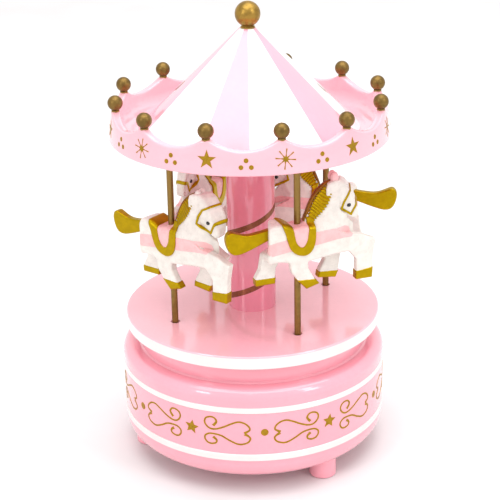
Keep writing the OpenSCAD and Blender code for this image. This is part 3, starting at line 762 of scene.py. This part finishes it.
def ear_field(u, v, w, tip=18.8):
    """Two blunt, rounded ears that stand close together at the poll."""
    return np.sqrt(((u - 14.4) / 1.6) ** 2 + ((np.abs(v) - 1.1) / 1.25) ** 2
                   + ((w - tip + 2.4) / 2.4) ** 2) - 1


def low_ear_field(u, v, w):
    return ear_field(u, v, w, tip=17)


def surface(field, box, step):
    """A quad mesh of a field's zero level (a surface net): points in (u, -v, w), and faces."""
    axes = [np.arange(lo, hi, step) for lo, hi in box]
    u, y, w = np.meshgrid(*axes, indexing="ij", sparse=True)
    d = np.pad(field(u, -y, w), 1, constant_values=step)
    cells = tuple(n - 1 for n in d.shape)
    total, count, quads = np.zeros(cells + (3,)), np.zeros(cells), []
    for axis in range(3):
        lower, upper = np.take(d, range(cells[axis]), axis), np.take(d, range(1, cells[axis] + 1), axis)
        crossing = (lower < 0) != (upper < 0)
        start = np.argwhere(crossing)
        a, b = lower[crossing], upper[crossing]
        point = start.astype(float)
        point[:, axis] += a / (a - b)
        corners = []
        for side, up in ((0, 0), (1, 0), (1, 1), (0, 1)):
            cell = start.copy()
            cell[:, (axis + 1) % 3] -= side
            cell[:, (axis + 2) % 3] -= up
            np.add.at(total, tuple(cell.T), point)
            np.add.at(count, tuple(cell.T), 1)
            corners.append(np.ravel_multi_index(cell.T, cells))
        quad = np.stack(corners, axis=1)
        quad[a >= 0] = quad[a >= 0][:, ::-1]
        quads.append(quad)
    used = count > 0
    number = np.cumsum(used.ravel()) - 1
    points = total[used] / count[used][:, None] * step + np.array([axis[0] - step for axis in axes])
    return points, number[np.concatenate(quads)]


WHOLE = [(-17.5, 31.5), (-5.6, 5.6), (-25.6, 17.5)]
HORSE_PARTS = {
    # part: (field, box, grid step, material)
    "body": (horse_field, WHOLE, 0.32, FINISHES["horse_paint"]),
    "belt": (belt_field, [(-14.5, 25.5), (-5.6, 5.6), (-11, 1)], 0.25, horse_pink),
    "seat": (seat_field, [(-5, 5), (-5.8, 5.8), (-9.5, 2)], 0.22, horse_pink),
    "saddle_border": (border_field, [(-9.5, 7), (-6, 6), (-12.5, 4)], 0.22, horse_gold),
    "bridle": (bridle_field, [(13, 26.5), (-4.4, 4.4), (-2.5, 14.5)], 0.18, horse_gold),
    "narrow_bridle": (narrow_bridle_field, [(13, 26.5), (-4.4, 4.4), (-2.5, 14.5)], 0.18, horse_gold),
    "mane": (mane_field, [(1, 15.5), (-4.8, 4.8), (-2.5, 17)], 0.18, horse_gold),
    "crest": (crest_field, [(0, 16), (-4.4, 4.4), (-2.5, 17.5)], 0.22, horse_brown),
    "tail": (tail_field, [(-30, -9.5), (-2.4, 2.4), (-10, 2.5)], 0.22, horse_gold),
    "hooves": (hoof_field, [(-18, 31.5), (-5.6, 5.6), (-26, -18.5)], 0.28, horse_gold),
    "eyes": (eye_field, [(18.4, 21.2), (-3.8, 3.8), (4.2, 6.6)], 0.14, horse_black),
    "ears": (ear_field, [(12, 17), (-3.2, 3.2), (13.4, 19.6)], 0.2, horse_pink),
    "white_ears": (low_ear_field, [(12, 17), (-3.2, 3.2), (12, 17.6)], 0.2, FINISHES["horse_paint"]),
}
# Parts that only some of the horses have. The first horse's ears are low and painted white.
ONLY_ON = {"bridle": (1, 3, 4), "narrow_bridle": (2,), "ears": (2, 3, 4), "white_ears": (1,)}
POLE_CIRCLE_R = 34.65
# Each horse: azimuth of its pole, the way it faces, and the height of its saddle
HORSES = [(-60.6, -36.6, 98.6), (29.4, 20.3, 103.0), (119.4, 175, 100.1), (209.4, 243.4, 100.6)]


def horse_mesh(part):
    """The mesh of one part, which the horses share."""
    field, box, step, material = HORSE_PARTS[part]
    points, quads = surface(field, box, step)
    mesh = bpy.data.meshes.new("horse_" + part)
    mesh.from_pydata((points * MM).tolist(), [], quads.tolist())
    mesh.materials.append(material)
    mesh.shade_smooth()
    return mesh


for part in HORSE_PARTS:
    mesh = horse_mesh(part)
    for number, (azimuth, heading, saddle_z) in enumerate(HORSES, 1):
        if number not in ONLY_ON.get(part, (number,)):
            continue
        piece = bpy.data.objects.new(f"horse_{number}_{part}", mesh)
        bpy.context.scene.collection.objects.link(piece)
        piece.location = [c * MM for c in at(azimuth, POLE_CIRCLE_R, saddle_z)]
        piece.rotation_euler = (0, 0, math.radians(heading))
        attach(piece, f"rider_{number}")
        if part == "body":
            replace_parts(piece, f"horse_{number}")


# ---------------------------------------------------------------- studio

def studio_floor():
    """A wide pale floor with a faint grain, low enough in contrast to stay plain."""
    f = Finish("floor_paper")
    f.colour(f.mixed(f.ranged(f.noise(0.02, 3), 0, 1), (0.75, 0.74, 0.74), (0.78, 0.77, 0.775)))
    f.roughness(f.ranged(f.noise(0.2, 3), 0.8, 0.95))
    f.bump((f.noise(1.0, 3), 0.02))
    mesh = bpy.data.meshes.new("floor")
    half = 3.0
    mesh.from_pydata([(-half, -half, 0), (half, -half, 0), (half, half, 0), (-half, half, 0)], [],
                     [(0, 1, 2, 3)])
    mesh.materials.append(f.material)
    floor = bpy.data.objects.new("floor", mesh)
    bpy.context.scene.collection.objects.link(floor)


def soft_light(name, place, target, size, watts):
    """A rectangular softbox at a place, turned to a target, all in metres."""
    lamp = bpy.data.lights.new(name, "AREA")
    lamp.shape, lamp.size, lamp.size_y = "RECTANGLE", size[0], size[1]
    lamp.energy = watts
    light = bpy.data.objects.new(name, lamp)
    bpy.context.scene.collection.objects.link(light)
    light.location = place
    light.rotation_euler = (Vector(target) - Vector(place)).to_track_quat("-Z", "Y").to_euler()


studio_floor()
soft_light("overhead", (0.05, -0.05, 1.15), (0, 0, 0.08), (1.3, 1.0), 10.0)
soft_light("left_strip", (-0.75, -0.75, 0.62), (0, 0, 0.06), (0.22, 0.5), 2.0)
soft_light("right_strip", (0.75, -0.6, 0.7), (0, 0, 0.06), (0.22, 0.5), 2.0)

world = bpy.data.worlds.new("studio_walls")
world.use_nodes = True
world.node_tree.nodes["Background"].inputs["Color"].default_value = (1.0, 0.985, 0.985, 1)
world.node_tree.nodes["Background"].inputs["Strength"].default_value = 1.0

scene = bpy.context.scene
scene.world = world
scene.view_settings.view_transform = "Standard"
scene.view_settings.look = "None"

# Camera: a little above the object, looking down at its front
CAMERA_PLACE = (0, -523.07, 289.81)
CAMERA_PITCH, CAMERA_YAW, CAMERA_ROLL = 21.774, -0.07, -1.02
camera_data = bpy.data.cameras.new("camera")
camera_data.sensor_width = 36
camera_data.lens = 102.66
camera_data.clip_start, camera_data.clip_end = 0.01, 20
camera = bpy.data.objects.new("camera", camera_data)
scene.collection.objects.link(camera)
pitch, yaw, roll = (math.radians(a) for a in (CAMERA_PITCH, CAMERA_YAW, CAMERA_ROLL))
forward = Vector((math.sin(yaw) * math.cos(pitch), math.cos(yaw) * math.cos(pitch), -math.sin(pitch)))
level = Vector((math.cos(yaw), -math.sin(yaw), 0))
above = level.cross(forward)
right = math.cos(roll) * level + math.sin(roll) * above
up = math.cos(roll) * above - math.sin(roll) * level
camera.matrix_world = Matrix.Translation(Vector(CAMERA_PLACE) * MM) @ Matrix(
    (right, up, -forward)).transposed().to_4x4()
scene.camera = camera
